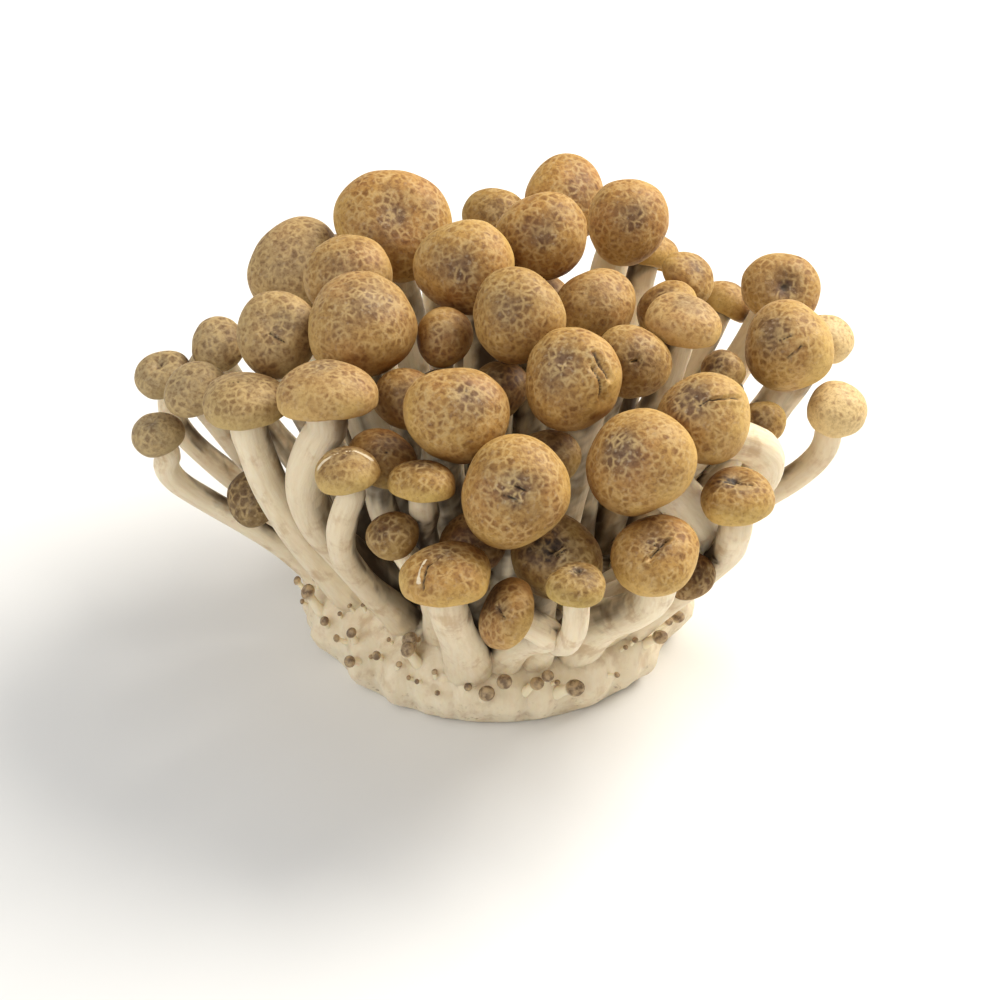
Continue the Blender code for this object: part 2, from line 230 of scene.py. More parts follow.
TEARS = {
    40: [
        ((-0.97, -0.05), (-0.82, 0.45), 0.13), ((-0.82, 0.45), (-0.20, 0.95), 0.05),
        ((-0.20, 0.95), (0.55, 0.80), 0.06), ((0.55, 0.80), (0.93, 0.25), 0.11),
    ],
    43: [((-0.76, 0.35), (-0.64, -0.30), 0.05)],
}
# Caps paler or darker than their neighbours, from -1 to 1. Some dark values are painted shade, for caps
# that lie in shadow among the others; the rest is the caps' own colour
TONES_AND_SHADE = {
    1: 0.15, 2: -0.1, 7: 0.15, 8: -0.25, 9: 0.9, 10: 0.05, 13: -0.1, 16: -0.05, 20: 0.1, 21: 0.35,
    22: -0.05, 23: -0.5, 24: 0.9, 27: 0.25, 28: -0.05, 32: -0.7, 35: 0.05, 36: 0.0, 37: -0.25,
    38: -0.55, 39: -0.6, 46: -0.15, 49: -0.6, 50: -0.5, 51: -0.3, 53: -0.7,
}
# Caps more orange, or more olive, from -1 to 1
WARMTHS = {
    1: 0.5, 2: 0.7, 3: 0.9, 4: 0.7, 5: -0.6, 6: -0.4, 8: 0.6, 10: 0.3, 12: 0.3, 13: 0.4, 17: 0.2,
    19: -0.3, 20: -0.2, 22: 0.1, 25: -0.3, 26: -0.3, 28: -0.5, 29: -0.3, 30: -0.6, 31: -0.6, 33: 0.4,
    34: 0.3, 35: 0.5, 36: 0.1, 37: -0.2, 42: -0.4, 43: 0.1, 44: 0.5, 45: -0.9, 46: -0.9, 47: 0.2,
    48: -0.4,
}
# Caps with a sharp lower edge
SHARP_BRIMS = {22, 24, 27, 28, 40, 42}
# Painted cool light: the left of the bunch is painted greyer, from this far left of the middle on
COOL_LIGHT_FROM, COOL_LIGHT_OVER = 18 * MM, 38 * MM


def unit(v):
    return v / np.linalg.norm(v, axis=-1, keepdims=True)


def seen(place):
    """The direction from a cap's middle of a place given to the right and up, in cap radii."""
    right, up = place
    near = math.sqrt(max(0.0, 1 - right**2 - up**2))
    return unit(SEEN_RIGHT * right + SEEN_UP * up + SEEN_NEAR * near)


def lumps(points, size, seed):
    """A smooth uneven value between about -1 and 1 over points, with bumps of about that size."""
    rng = np.random.default_rng(seed)
    value = np.zeros(len(points))
    for _ in range(6):
        wave = unit(rng.normal(size=3)) * 2 * math.pi / (size * rng.uniform(1.5, 3.2))
        value += np.sin(points @ wave + rng.uniform(0, 2 * math.pi))
    return value / 3


class Cap:
    """One cap, measured on its solid."""

    def __init__(self, node):
        self.node = node
        self.number = int(node[-2:])
        points, top, first_ring = points_of(frame["nodes"][node])
        # The ring round the middle of the top is flat, so its plane gives the way that the cap faces
        self.up = np.linalg.svd(first_ring - first_ring.mean(0))[2][2]
        self.up *= np.sign(self.up[2])
        self.turn = np.array(Vector(self.up).to_track_quat("Z", "Y").to_matrix())
        local = (points - top) @ self.turn
        flat, turns = np.hypot(local[:, 0], local[:, 1]), np.arctan2(local[:, 1], local[:, 0])
        rings = [level for level in levels_of(local[:, 2]) if len(level) >= FULL_RING]
        shoulder, lip, widest = rings[1], rings[-1], max(rings, key=lambda ring: flat[ring].mean())
        crown = np.flatnonzero(local[:, 2] > -SAME_LEVEL)
        skin = np.concatenate([rings[0], shoulder, widest, lip, crown])
        throat = np.setdiff1d(np.arange(len(points)), skin)
        self.middle = top + self.up * local[widest[0], 2]
        # The outline's radius, with its two and three lobes as a cosine's and a sine's share each
        waves = [np.ones(len(widest))]
        waves += [wave(n * turns[widest]) for n in (2, 3) for wave in (np.cos, np.sin)]
        self.radius, *shares = np.linalg.lstsq(np.column_stack(waves), flat[widest], rcond=None)[0]
        self.lobes = np.array(shares).reshape(2, 2) / self.radius
        self.height = self.above(points[shoulder[0]]) / math.cos(SHOULDER_ANGLE)
        self.dimple = self.height - self.above(top)
        self.lip_z = self.above(points[lip[0]])
        self.lip = flat[lip].mean()
        self.ceiling_z = min(self.above(points[i]) for i in throat)
        self.throat = flat[throat][flat[throat] > THROAT_GAP].mean()
        self.stem_radius = self.throat - THROAT_GAP
        # The middle of the cap's whole height, which the stems' rule measures from
        self.half_height = (self.height - self.lip_z) / 2
        self.heart = self.middle + self.up * (self.height + self.lip_z) / 2

    def above(self, point):
        return float((point - self.middle) @ self.up)

    def place(self, flat, turns, z):
        """Points of the scene, from their distance from the axis, turn round it and height on it."""
        pairs = zip((2, 3), self.lobes)
        swell = sum(c * np.cos(n * turns) + s * np.sin(n * turns) for n, (c, s) in pairs)
        flat = flat * (1 + swell * np.clip((flat - self.throat) / (0.25 * self.radius), 0, 1))
        local = np.stack([flat * np.cos(turns), flat * np.sin(turns), z], -1)
        return local @ self.turn.T + self.middle

    def share_inside(self, points, margin):
        """Under 1 where a point lies inside the cap grown by margin, and 0 at its heart."""
        offset = points - self.heart
        height = offset @ self.up
        side = np.linalg.norm(offset - height[:, None] * self.up, axis=1)
        across = side / (self.radius + margin)
        along = np.abs(height) / (self.half_height + margin)
        return (across**SHELL_POWER + along**SHELL_POWER) ** (1 / SHELL_POWER)


def places_of(mesh):
    return np.array([v.co for v in mesh.vertices])


def points_of(obj):
    """A cap solid's points, the one in the middle of its top, and the ring of points next to it."""
    points, same = np.unique(places_of(obj.data).round(7), axis=0, return_inverse=True)
    faces = same.reshape(-1)[[list(face.vertices) for face in obj.data.polygons]]
    most_met = np.argsort(np.bincount(faces.ravel()))[-2:]
    top = max(most_met, key=lambda i: points[i][2])
    ring = np.setdiff1d(faces[(faces == top).any(1)], [top])
    return points, points[top], points[ring]


def tree_of_solids():
    """All the solids' faces, for telling what lies in a ray's way."""
    points, faces = [], []
    for solid in (obj.data for obj in frame["nodes"].values()):
        faces += [[i + len(points) for i in face.vertices] for face in solid.polygons]
        points += [v.co for v in solid.vertices]
    return BVHTree.FromPolygons(points, faces)


def ways_out():
    """Directions spread evenly over a ball, as the seeds of a sunflower are."""
    steps = np.arange(WAYS_OUT) + 0.5
    high, turns = 1 - 2 * steps / WAYS_OUT, steps * math.pi * (3 - math.sqrt(5))
    flat = np.sqrt(1 - high**2)
    return [Vector(way) for way in zip(flat * np.cos(turns), flat * np.sin(turns), high)]


def is_met(start, way):
    """Whether a way out meets the bunch within the reach. A skin met from behind lay over the start."""
    place, normal, _, far = SOLIDS.ray_cast(start, way, SHADE_REACH)
    if normal is not None and normal.dot(way) > 0:
        _, normal, _, _ = SOLIDS.ray_cast(place + way * SAME_LEVEL, way, SHADE_REACH - far)
    return normal is not None


def closed_in(points, normals):
    """For each point, the share of the ways out of it that meet the bunch within a short reach."""
    shares = []
    for point, normal in zip(points, normals):
        out = Vector(normal)
        start = Vector(point) + out * SHADE_LIFT
        ways = [way for way in WAYS if way.dot(out) > 0.1]
        shares.append(sum(is_met(start, way) for way in ways) / len(ways))
    return np.array(shares)


SOLIDS, WAYS = tree_of_solids(), ways_out()


def levels_of(heights):
    """The indices of points in groups of one height, from the top down."""
    order = np.argsort(-heights)
    cuts = np.flatnonzero(-np.diff(heights[order]) > SAME_LEVEL) + 1
    return np.split(order, cuts)


# Materials


class Link:
    """A node's output that can stand in sums: each operation adds a Math node."""

    def __init__(self, tree, socket):
        self.tree = tree
        self.socket = socket

    def __add__(self, other):
        return self.tree.sum("ADD", self, other)

    def __radd__(self, other):
        return self.tree.sum("ADD", other, self)

    def __sub__(self, other):
        return self.tree.sum("SUBTRACT", self, other)

    def __rsub__(self, other):
        return self.tree.sum("SUBTRACT", other, self)

    def __mul__(self, other):
        return self.tree.sum("MULTIPLY", self, other)

    def __rmul__(self, other):
        return self.tree.sum("MULTIPLY", other, self)

    def __truediv__(self, other):
        return self.tree.sum("DIVIDE", self, other)

    def __pow__(self, other):
        return self.tree.sum("POWER", self, other)


class Tree:
    """A node tree, shader's or geometry's, that is built by calls."""

    def __init__(self, tree):
        self.tree = tree

    def node(self, kind, settings=None, sockets=None, out=0):
        """Adds a node with its settings and the values or links of its sockets. Gives one output."""
        made = self.tree.nodes.new(kind)
        for name, value in (settings or {}).items():
            setattr(made, name, value)
        for name, value in (sockets or {}).items():
            if isinstance(value, Link):
                self.tree.links.new(value.socket, made.inputs[name])
            else:
                made.inputs[name].default_value = value
        return Link(self, made.outputs[out])

    def sum(self, operation, a, b=0.0):
        return self.node("ShaderNodeMath", {"operation": operation}, {0: a, 1: b})

    def ramp(self, value, low, high):
        """A smooth step from 0 at low to 1 at high."""
        sockets = {"Value": value, "From Min": low, "From Max": high}
        return self.node("ShaderNodeMapRange", {"interpolation_type": "SMOOTHSTEP"}, sockets)

    def mix(self, share, a, b):
        """The colour a, or b where share is 1."""
        a, b = ((*c, 1) if isinstance(c, tuple) else c for c in (a, b))
        return self.node("ShaderNodeMix", {"data_type": "RGBA"}, {0: share, 6: a, 7: b}, out=2)

    def shade(self, share, colour, amount):
        """The colour multiplied by a number, as far as share says."""
        settings = {"data_type": "RGBA", "blend_type": "MULTIPLY"}
        return self.node("ShaderNodeMix", settings, {0: share, 6: colour, 7: (*amount, 1)}, out=2)

    def own(self, name, vector=False):
        """The mesh's own attribute of that name."""
        out = "Vector" if vector else "Fac"
        return self.node("ShaderNodeAttribute", {"attribute_name": name}, out=out)

    def noise(self, place, size, detail=3.0, rough=0.5):
        """Clouded noise from 0 to 1 with blots of about that size."""
        sockets = {"Vector": place, "Scale": 1 / size, "Detail": detail, "Roughness": rough}
        return self.node("ShaderNodeTexNoise", {}, sockets)

    def cells(self, place, size, feature, out):
        """Uneven cells of about that size."""
        sockets = {"Vector": place, "Scale": 1 / size}
        return self.node("ShaderNodeTexVoronoi", {"feature": feature}, sockets, out)

    def bump(self, height, distance, strength=1.0):
        sockets = {"Height": height, "Distance": distance, "Strength": strength}
        return self.node("ShaderNodeBump", {}, sockets)

    def warped(self, place, size, amount):
        """The place pushed about by noise, so that a pattern on it loses its regularity."""
        kind = "ShaderNodeVectorMath"
        cloud = self.node("ShaderNodeTexNoise", {}, {"Vector": place, "Scale": 1 / size}, out="Color")
        shift = self.node(kind, {"operation": "SUBTRACT"}, {0: cloud, 1: (0.5, 0.5, 0.5)})
        push = self.node(kind, {"operation": "SCALE"}, {0: shift, "Scale": amount})
        return self.node(kind, {"operation": "ADD"}, {0: place, 1: push})


def new_material(name, glow, **sockets):
    """A Principled material and its tree. Flesh lets light in, as far as glow says."""
    made = bpy.data.materials.new(name)
    made.use_nodes = True
    shader = made.node_tree.nodes["Principled BSDF"]
    shader.inputs["Subsurface Weight"].default_value = glow
    shader.inputs["Subsurface Radius"].default_value = (1.0, 0.6, 0.3)
    shader.inputs["Subsurface Scale"].default_value = 1.6 * MM
    for socket, value in sockets.items():
        shader.inputs[socket.replace("_", " ")].default_value = value
    return made, Tree(made.node_tree), shader


def wear(tree, shader, colour, roughness, normal):
    for name, link in (("Base Color", colour), ("Roughness", roughness), ("Normal", normal)):
        tree.tree.links.new(link.socket, shader.inputs[name])


# Colours, as linear values
CAP_MIDDLE = (0.230, 0.124, 0.046)
CAP_SHOULDER = (0.450, 0.255, 0.068)
CAP_MARGIN = (0.660, 0.435, 0.130)
CAP_NET = (0.680, 0.490, 0.220)
# Painted cool light: the greyer colour of the left of the bunch
CAP_COOL_LIGHT = (0.430, 0.325, 0.175)
CAP_PALE = (0.800, 0.610, 0.310)
CAP_RUST = (0.430, 0.190, 0.055)
CAP_BLOOM = (0.620, 0.500, 0.340)
CAP_BROWN = (0.130, 0.076, 0.050)
# Near-black, for the darkest stains and for the painted shade in creases
CAP_DARK = (0.030, 0.021, 0.013)
# Painted shade, multiplied into the skin where the bunch closes round it
CAP_PAINTED_SHADE = (0.460, 0.320, 0.190)
FLESH = (0.900, 0.785, 0.570)
FLESH_STAIN = (0.520, 0.340, 0.170)
# Painted shade, a near-black brown mixed into the flesh inside the bunch
FLESH_PAINTED_SHADE = (0.070, 0.040, 0.021)
GILL = (0.760, 0.640, 0.450)
CRUMB = (0.330, 0.210, 0.110)


def cap_skin():
    """Brown skin, mottled by a net of paler lines that fades from the middle to a smooth tan margin."""
    made, t, shader = new_material("cap_skin", 0.0, Specular_IOR_Level=0.32)
    place = t.node("ShaderNodeTexCoord", out="Object")
    edge, stain, crease_shade, torn = (t.own(name) for name in ("edge", "stain", "crease_shade", "torn"))
    tone_and_shade, grey, warmth, deep = (t.own(name) for name in ("tone_and_shade", "grey", "warmth", "deep"))
    cloud = t.noise(place, 6 * MM, 4.0, 0.55)
    blotch = t.noise(place, 2.2 * MM, 4.0, 0.6)
    reach = edge + (cloud - 0.5) * 0.80
    colour = t.mix(t.ramp(reach, 0.00, 0.44), CAP_MIDDLE, CAP_SHOULDER)
    colour = t.mix(t.ramp(reach, 0.38, 0.95), colour, CAP_MARGIN)
    rust = t.ramp(t.noise(place, 9 * MM, 3.0) + warmth * 0.10, 0.50, 0.74)
    colour = t.mix(rust * 0.42, colour, CAP_RUST)
    colour = t.shade(t.ramp(warmth, 0.0, 1.0) * 0.45, colour, (1.06, 0.92, 0.66))
    colour = t.shade(t.ramp(0 - warmth, 0.0, 1.0) * 0.75, colour, (0.78, 0.84, 0.74))
    # Painted cool light: greyer towards the left of the bunch
    colour = t.mix(grey * 0.80, colour, CAP_COOL_LIGHT)
    colour = t.mix(t.ramp(tone_and_shade, 0.1, 1.0) * 0.85, colour, CAP_PALE)
    # The darker caps; for some of them this is painted shade
    colour = t.shade(t.ramp(0 - tone_and_shade, 0.0, 1.0), colour, (0.34, 0.32, 0.30))
    uneven = (blotch - 0.5) * 1.1 + (cloud - 0.5) * 0.6
    colour = t.mix(t.ramp(stain + uneven * stain, 0.15, 1.05) * 0.72, colour, CAP_BROWN)

    # The net: soft pale lines, broken here and there, between ragged cells of uneven darkness
    bent = t.warped(t.warped(place, 3.0 * MM, 1.2 * MM), 0.8 * MM, 0.30 * MM)
    gap = t.cells(bent, 1.45 * MM, "DISTANCE_TO_EDGE", "Distance")
    line = (1 - t.ramp(gap, 0.00, 0.26)) * t.ramp(t.noise(place, 1.8 * MM, 2.0), 0.34, 0.62)
    shades = t.node("ShaderNodeSeparateColor", {}, {0: t.cells(bent, 1.45 * MM, "F1", "Color")})
    fade = (1 - t.ramp(reach, 0.44, 1.10)) * t.ramp(t.noise(place, 4.5 * MM, 2.0), 0.20, 0.48)
    dark_cell = (0.35 + t.ramp(shades, 0.15, 0.95) * 0.65) * t.ramp(gap, 0.03, 0.32)
    dark_cell *= t.ramp(blotch, 0.24, 0.54)
    colour = t.shade(fade * dark_cell * 0.76, colour, (0.52, 0.42, 0.37))
    freckle = t.ramp(t.noise(place, 0.62 * MM, 3.0, 0.6), 0.44, 0.64) * t.ramp(reach, 1.25, 0.35)
    colour = t.shade(freckle * 0.62, colour, (0.54, 0.43, 0.36))
    colour = t.mix(line * fade * (0.42 + stain * 0.24), colour, CAP_NET)
    colour = t.shade(t.ramp(blotch, 0.48, 0.74) * 0.34, colour, (0.66, 0.54, 0.42))
    speck = t.ramp(t.noise(place, 0.34 * MM, 2.0), 0.60, 0.74) * (1 - t.ramp(edge, 0.80, 1.05))
    colour = t.shade(speck * 0.50, colour, (0.48, 0.38, 0.32))
    pale = t.ramp(t.noise(place, 0.85 * MM, 2.0), 0.56, 0.72) * (0.35 + stain * 0.5)
    colour = t.mix(pale * 0.42, colour, CAP_BLOOM)
    inky = t.ramp(stain + uneven * stain + dark_cell * 0.3, 1.05, 2.10)
    colour = t.mix(inky * 0.85, colour, CAP_DARK)
    # Painted shade: the creases' grooves near-black
    colour = t.mix(t.ramp(crease_shade + (blotch - 0.5) * 0.4, 0.35, 0.95) * 0.90, colour, CAP_DARK)
    bare = t.mix(t.noise(place, 0.8 * MM, 2.0), (0.640, 0.500, 0.330), FLESH)
    colour = t.mix(t.ramp(torn + (blotch - 0.5) * 0.9, 0.40, 0.72), colour, bare)
    # Painted shade: the skin darker and warmer where the bunch closes round it
    colour = t.shade(t.ramp(deep + (cloud - 0.5) * 0.3, 0.30, 0.95), colour, CAP_PAINTED_SHADE)

    grain = t.noise(place, 0.30 * MM, 2.0, 0.6)
    pit = t.noise(place, 1.3 * MM, 2.0)
    height = grain * 0.30 + blotch * 0.60 + pit * 0.50
    roughness = 0.48 + blotch * 0.16 + t.ramp(edge, 0.2, 0.9) * 0.05
    wear(t, shader, colour, roughness, t.bump(height, 0.20 * MM, 0.85))
    return made


def stem_flesh():
    """Cream flesh with fine lengthwise streaks, a few tan bruises and a crumb-stained foot."""
    made, t, shader = new_material("stem_flesh", 0.32, Specular_IOR_Level=0.42)
    place = t.node("ShaderNodeTexCoord", out="Object")
    fibre, foot, tint, deep = t.own("fibre", vector=True), t.own("foot"), t.own("tint"), t.own("deep")
    streak = t.noise(fibre, 0.55, 4.0, 0.6)
    thread = t.noise(fibre, 0.20, 2.0)
    cloud = t.noise(place, 9 * MM, 3.0)
    bruise = t.ramp(t.noise(place, 5 * MM, 4.0, 0.6) + streak * 0.20, 0.60, 0.80)
    colour = t.mix(t.ramp(streak, 0.34, 0.70) * 0.55, FLESH, (0.740, 0.590, 0.380))
    colour = t.mix(t.ramp(thread, 0.50, 0.75) * 0.22, colour, (0.980, 0.920, 0.780))
    colour = t.mix(t.ramp(cloud, 0.45, 0.75) * 0.30, colour, (0.720, 0.600, 0.420))
    colour = t.mix(tint * 0.50, colour, (0.640, 0.500, 0.320))
    colour = t.mix(bruise * 0.60, colour, FLESH_STAIN)
    colour = t.mix(t.ramp(foot, 0.0, 1.0) * 0.30, colour, (0.820, 0.730, 0.560))
    crumbs = t.ramp(t.noise(place, 1.1 * MM, 4.0, 0.7), 0.58, 0.70)
    crumbs *= t.ramp(foot + cloud * 0.35, 0.80, 1.15)
    colour = t.mix(crumbs * 0.80, colour, CRUMB)
    # Painted shade: the flesh near-black brown where the bunch closes round it
    colour = t.mix(t.ramp(deep + (cloud - 0.5) * 0.2, 0.42, 0.86) * 0.94, colour, FLESH_PAINTED_SHADE)
    grain = t.noise(place, 0.35 * MM, 3.0)
    height = streak * 0.9 + thread * 0.35 + grain * 0.15 + crumbs * 0.6
    wear(t, shader, colour, 0.38 + streak * 0.20 + crumbs * 0.25, t.bump(height, 0.16 * MM, 0.8))
    return made


def gill_flesh():
    """The pale underside, a little darker in clouds."""
    made, t, shader = new_material("gill_flesh", 0.22, Specular_IOR_Level=0.3)
    place = t.node("ShaderNodeTexCoord", out="Object")
    cloud = t.noise(place, 3 * MM, 3.0)
    grain = t.noise(place, 0.4 * MM, 3.0)
    colour = t.mix(t.ramp(cloud, 0.35, 0.75) * 0.6, GILL, (0.560, 0.430, 0.270))
    wear(t, shader, colour, 0.5 + grain * 0.15, t.bump(grain, 0.06 * MM, 0.6))
    return made


def pinhead_flesh():
    """Tiny young mushrooms: cream below, grey brown on the head."""
    made, t, shader = new_material("pinhead_flesh", 0.25, Specular_IOR_Level=0.4)
    place = t.node("ShaderNodeTexCoord", out="Object")
    cloud = t.noise(place, 1.2 * MM, 4.0, 0.6)
    brown = t.mix(t.ramp(cloud, 0.35, 0.65), (0.180, 0.115, 0.065), (0.500, 0.365, 0.205))
    colour = t.mix(t.ramp(t.own("head") + (cloud - 0.5) * 0.6, 0.15, 0.85), FLESH, brown)
    wear(t, shader, colour, 0.42 + cloud * 0.15, t.bump(cloud, 0.08 * MM, 0.6))
    return made


SKIN, STEM, GILLS, PINHEAD = cap_skin(), stem_flesh(), gill_flesh(), pinhead_flesh()


# Meshes


def mesh_of(name, points, faces, materials):
    mesh = bpy.data.meshes.new(name)
    mesh.from_pydata(points.tolist(), [], faces)
    for one in materials:
        mesh.materials.append(one)
    mesh.shade_smooth()
    return mesh


def keep_values(mesh, **values):
    """Stores a number, or a vector, for each of the mesh's points."""
    for name, value in values.items():
        kind, field = ("FLOAT", "value") if value.ndim == 1 else ("FLOAT_VECTOR", "vector")
        kept = mesh.attributes.new(name, kind, "POINT")
        kept.data.foreach_set(field, value.astype(np.float32).ravel())


def piece(name, mesh):
    made = bpy.data.objects.new(name, mesh)
    bpy.context.scene.collection.objects.link(made)
    return made


def as_plain_mesh(obj):
    """The object's mesh with its modifiers done, and the object removed."""
    graph = bpy.context.evaluated_depsgraph_get()
    graph.update()
    mesh = bpy.data.meshes.new_from_object(obj.evaluated_get(graph))
    bpy.data.objects.remove(obj)
    return mesh


def swept(sides, *values):
    """The turn of each point of a stack of rings, and each ring's values at all of its points."""
    turns = np.tile(np.arange(sides) * 2 * math.pi / sides, len(values[0]))
    return turns, *(np.repeat(value, sides) for value in values)


def ring_faces(rings, sides):
    """Faces between rings of points, with a point before the first ring and another after the last."""
    faces = [(0, 1 + k, 1 + (k + 1) % sides) for k in range(sides)]
    for row in range(rings - 1):
        a, b = 1 + row * sides, 1 + (row + 1) * sides
        for k in range(sides):
            after = (k + 1) % sides
            faces.append((a + k, b + k, b + after, a + after))
    a, end = 1 + (rings - 1) * sides, 1 + rings * sides
    return faces + [(a + (k + 1) % sides, a + k, end) for k in range(sides)]


def arc_distance(directions, start, end):
    """How far each direction is from the line between two places, in cap radii."""
    start, end = seen(start), seen(end)
    line = unit(start + (end - start) * np.linspace(0, 1, 24)[:, None])
    return np.linalg.norm(directions[:, None] - line, axis=2).min(1)


def cap_profile(cap):
    """Distance from the axis, height, share of the way to the margin, and whether it is outer skin."""
    r = cap.radius
    dome_rows = round(r * math.pi / 2 / CAP_FACE)
    t = np.linspace(0, math.pi / 2, dome_rows + 1)[1:]
    dome = [r * np.sin(t), cap.height * np.cos(t), 0.78 * t / (math.pi / 2), np.ones(len(t))]
    brim_length = math.hypot(r - cap.lip, cap.lip_z)
    t = np.linspace(0, math.pi / 2, max(6, round(1.2 * brim_length / CAP_FACE)) + 1)[1:]
    power = 2 / (SHARP_BRIM if cap.number in SHARP_BRIMS else BRIM_POWER)
    flat = cap.lip + (r - cap.lip) * np.abs(np.cos(t)) ** power
    brim = [flat, cap.lip_z * np.sin(t) ** power, 0.78 + 0.22 * t / (math.pi / 2), np.ones(len(t))]
    e = LIP_ROUND * r
    t = np.linspace(-math.pi / 2, -math.pi, 5)[1:]
    curl = [cap.lip + e * np.cos(t), cap.lip_z + e + e * np.sin(t), np.ones(len(t)), np.full(len(t), 0.6)]
    t = np.linspace(0, 1, max(6, round((cap.lip - cap.throat) / CAP_FACE)) + 1)[1:]
    inner, low, high = cap.lip - e, cap.lip_z + e, cap.ceiling_z + GILL_ROOM * r
    arch = low + (high - low) * np.sin(t * math.pi / 2) ** ARCH_POWER
    under = [inner + (cap.throat * 0.8 - inner) * t, arch, np.ones(len(t)), np.zeros(len(t))]
    return np.hstack([dome, brim, curl, under])


def dress_cap(cap, points, outer, edge):
    """Moves a cap's points for its lumps, dents and creases. Gives its stains, painted crease shade and
    tears too.
    """
    out = unit(points - cap.heart)
    rise = lumps(points, 0.9 * cap.radius, SEED + cap.number) * LUMP_HEIGHT
    rise += lumps(points, 0.28 * cap.radius, SEED * 2 + cap.number) * WRINKLE_HEIGHT
    # The margin waves a little more than the crown
    margin = np.clip(edge - 0.7, 0, 1) / 0.3
    rise += lumps(points, 0.5 * cap.radius, SEED * 3 + cap.number) * MARGIN_WAVE * margin
    stain, crease_shade, torn = np.zeros((3, len(points)))
    for place, width, depth in DENTS.get(cap.number, ()):
        near = np.exp(-((np.linalg.norm(out - seen(place), axis=1) / width) ** 2))
        rise -= depth * near
        stain += 0.35 * near
    for start, end, width, depth in CREASES.get(cap.number, ()):
        away = arc_distance(out, start, end) / width
        rise += depth * (0.40 * np.exp(-((away - 2.2) ** 2)) - np.exp(-(away**2)))
        # Painted shade along the crease's groove
        crease_shade += np.exp(-((away * 1.1) ** 2))
    if cap.number in PATCHES:
        place, width, strength = PATCHES[cap.number]
        stain += strength * np.exp(-((np.linalg.norm(out - seen(place), axis=1) / width) ** 4))
    for start, end, width in TEARS.get(cap.number, ()):
        away = arc_distance(out, start, end) / width
        rise += 0.03 * np.exp(-((away / 1.6) ** 2)) - 0.05 * np.exp(-((away / 0.8) ** 2))
        torn = np.maximum(torn, np.exp(-(away**2)))
    values = {"stain": stain * outer, "crease_shade": crease_shade * outer, "torn": torn * outer}
    return points + out * (rise * outer * cap.radius)[:, None], values


def cap_shade(cap, points, sides):
    """How closed in each of a cap's points is, told at some of them and spread to those between."""
    rings = points[1:-1].reshape(-1, sides, 3)
    rows = np.unique(np.linspace(0, len(rings) - 1, len(rings) // SHADE_STEP + 2).astype(int))
    columns = np.arange(0, sides, SHADE_STEP)
    some = rings[rows][:, columns].reshape(-1, 3)
    shares = closed_in(some, unit(some - cap.heart)).reshape(len(rows), -1)
    wide = np.array([np.interp(np.arange(sides), columns, row, period=sides) for row in shares])
    full = np.array([np.interp(np.arange(len(rings)), rows, column) for column in wide.T]).T
    return np.r_[full[0].mean(), full.ravel(), full[-1].mean()]


def started_tree(name, **inputs):
    """A Geometry Nodes tree with the inputs named under each kind, and a material, as links."""
    group = bpy.data.node_groups.new(name, "GeometryNodeTree")
    group.interface.new_socket("Mesh", in_out="OUTPUT", socket_type="NodeSocketGeometry")
    for kind, sockets in {**inputs, "Material": ("Material",)}.items():
        for socket in sockets:
            group.interface.new_socket(socket, in_out="INPUT", socket_type="NodeSocket" + kind)
    t = Tree(group)
    given = group.nodes.new("NodeGroupInput")
    return t, {socket.name: Link(t, socket) for socket in given.outputs if socket.name}


def ended_tree(t, geometry, material):
    """The tree, once its instances are made plain mesh of that material."""
    plain = t.node("GeometryNodeRealizeInstances", {}, {0: geometry})
    done = t.node("GeometryNodeSetMaterial", {}, {"Geometry": plain, "Material": material})
    t.tree.links.new(done.socket, t.tree.nodes.new("NodeGroupOutput").inputs[0])
    return t.tree


def gill_tree():
    """Blades in a ring: long ones from the throat to the brim, and short ones between them."""
    lengths = ("Throat", "Brim", "Lip height", "Ceiling height", "Edge height", "Thickness")
    t, ins = started_tree("gills", Float=lengths, Int=("Count",))
    long = blade_ring(t, ins, ins["Throat"] * 0.9, 0.0)
    short = blade_ring(t, ins, ins["Throat"] + (ins["Brim"] - ins["Throat"]) * SHORT_GILL_START, 0.5)
    both = t.node("GeometryNodeJoinGeometry")
    for ring in (long, short):
        t.tree.links.new(ring.socket, both.socket.node.inputs[0])
    return ended_tree(t, both, ins["Material"])


def blade_ring(t, ins, start, turned):
    """One ring of blades that begin at start, turned by that share of the pitch between two of them."""
    block = t.node("GeometryNodeMeshCube", {}, {"Size": (1, 1, 1), "Vertices X": 6, "Vertices Y": 2})
    at = t.node("GeometryNodeInputPosition")
    split = t.node("ShaderNodeSeparateXYZ", {}, {0: at}).socket.node
    along, side, high = (Link(t, socket) for socket in split.outputs)
    flat = start + (ins["Brim"] - start) * (along + 0.5)
    inward = (ins["Brim"] - flat) / (ins["Brim"] - ins["Throat"] * 0.8)
    arch = t.sum("SINE", inward * (math.pi / 2)) ** ARCH_POWER
    roof = ins["Lip height"] + (ins["Ceiling height"] - ins["Lip height"]) * arch
    hem = ins["Lip height"] + (ins["Edge height"] - ins["Lip height"]) * inward
    z = hem + (roof - hem) * (high + 0.5)
    put = t.node("ShaderNodeCombineXYZ", {}, {0: flat, 1: side * ins["Thickness"], 2: z})
    blade = t.node("GeometryNodeSetPosition", {}, {"Geometry": block, "Position": put})
    points = t.node("GeometryNodePoints", {}, {"Count": ins["Count"]})
    angle = (t.node("GeometryNodeInputIndex") + turned) * (2 * math.pi) / ins["Count"]
    turn = t.node("FunctionNodeAxisAngleToRotation", {}, {"Axis": (0, 0, 1), "Angle": angle})
    sockets = {"Points": points, "Instance": blade, "Rotation": turn}
    return t.node("GeometryNodeInstanceOnPoints", {}, sockets)


def set_inputs(modifier, values):
    """Sets a Geometry Nodes modifier's inputs, each found by its name and set by its identifier."""
    for item in modifier.node_group.interface.items_tree:
        if item.name in values and item.in_out == "INPUT":
            modifier[item.identifier] = values[item.name]


